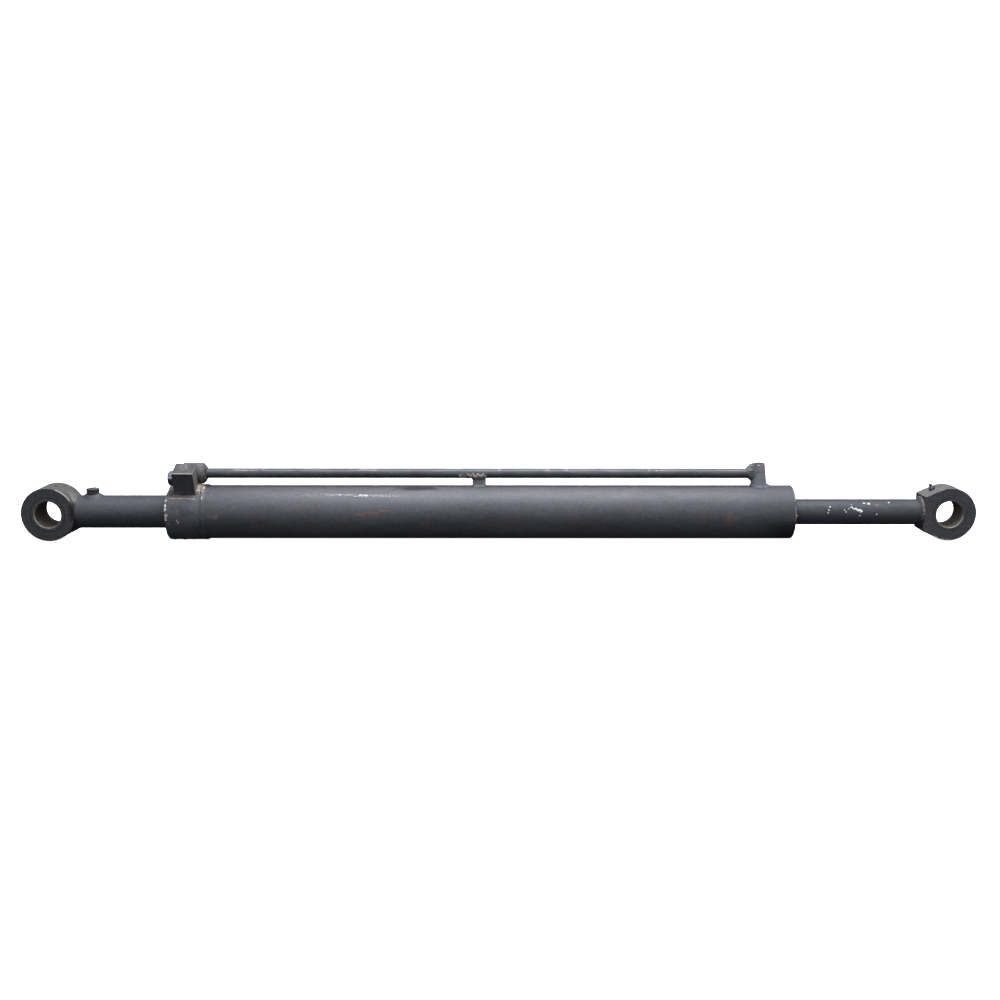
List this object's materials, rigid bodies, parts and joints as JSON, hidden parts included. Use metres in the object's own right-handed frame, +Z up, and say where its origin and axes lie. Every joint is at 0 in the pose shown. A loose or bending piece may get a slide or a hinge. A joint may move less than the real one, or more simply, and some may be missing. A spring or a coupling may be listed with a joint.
{
  "type": "telescopic hydraulic cylinder",
  "caption": "Hydraulic cylinder with a rod sliding out of each end of one barrel, pin eyes with bushings, side port block and a transfer pipe along the top.",
  "frame": {"origin": "centre of the left pin bore, midway through the eye's width", "axes": "+X along the cylinder to the right eye, +Y along the pin bores, +Z up through the transfer pipe"},
  "size_m": [1.2925, 0.0774, 0.107],
  "materials": {
    "barrel_paint": "worn satin black paint",
    "block_paint": "worn satin black paint",
    "pipe_paint": "worn satin black paint",
    "rod_paint": "worn satin black paint",
    "eye_paint": "worn satin black paint, dusty",
    "weld_bead": "rough bead, paint partly flaked off",
    "bushing_steel": "bored steel, oxidised",
    "plug_steel": "plated, worn",
    "nipple_steel": "blackened steel",
    "gland_iron": "machined",
    "piston_iron": "machined",
    "nut_steel": "machined",
    "guide_bronze": "machined",
    "o_ring_rubber": "matt",
    "wiper_rubber": "matt",
    "seal_polyurethane": "moulded",
    "wear_ring_plastic": "moulded, filled"
  },
  "bodies": {
    "barrel": {"barrel_tube": "barrel_paint", "left_head_collar": "barrel_paint", "collar_seam_weld": "weld_bead", "left_gland": "gland_iron", "left_gland_o_ring": "o_ring_rubber", "left_rod_wiper": "wiper_rubber", "left_rod_seal": "seal_polyurethane", "left_rod_guide": "guide_bronze", "right_gland": "gland_iron", "right_gland_o_ring": "o_ring_rubber", "right_rod_wiper": "wiper_rubber", "right_rod_seal": "seal_polyurethane", "right_rod_guide": "guide_bronze", "port_block": "block_paint", "port_plug": "plug_steel", "port_plug_washer": "plug_steel", "block_weld": "weld_bead", "pipe_socket": "block_paint", "socket_pipe_weld": "weld_bead", "transfer_pipe": "pipe_paint", "pipe_standoff": "pipe_paint", "standoff_weld": "weld_bead", "right_port_boss": "pipe_paint", "boss_pipe_weld": "weld_bead", "boss_foot_weld": "weld_bead"},
    "left_rings": {"left_wear_rings": "wear_ring_plastic", "left_piston_seal": "seal_polyurethane"},
    "left_rod": {"left_rod": "rod_paint", "left_eye": "eye_paint", "left_eye_bushing": "bushing_steel", "left_oil_port_boss": "eye_paint", "left_port_weld": "weld_bead", "left_piston": "piston_iron", "left_piston_o_ring": "o_ring_rubber", "left_piston_nut": "nut_steel"},
    "right_rings": {"right_wear_rings": "wear_ring_plastic", "right_piston_seal": "seal_polyurethane"},
    "right_rod": {"right_rod": "rod_paint", "right_eye": "eye_paint", "right_eye_bushing": "bushing_steel", "right_eye_weld": "weld_bead", "grease_nipple": "nipple_steel", "right_piston": "piston_iron", "right_piston_o_ring": "o_ring_rubber", "right_piston_nut": "nut_steel"}
  },
  "joints": [
    {"name": "left_rod_slide", "type": "slide", "parent": "barrel", "child": "left_rings", "axis": [-1, 0, 0], "range_m": [0, 0.305]},
    {"name": "left_rod_turn", "type": "hinge", "parent": "left_rings", "child": "left_rod", "pos_m": [0.548, 0, 0], "axis": [1, 0, 0], "continuous": true},
    {"name": "right_rod_slide", "type": "slide", "parent": "barrel", "child": "right_rings", "axis": [1, 0, 0], "range_m": [0, 0.305]},
    {"name": "right_rod_turn", "type": "hinge", "parent": "right_rings", "child": "right_rod", "pos_m": [0.624, 0, 0], "axis": [1, 0, 0], "continuous": true}
  ]
}
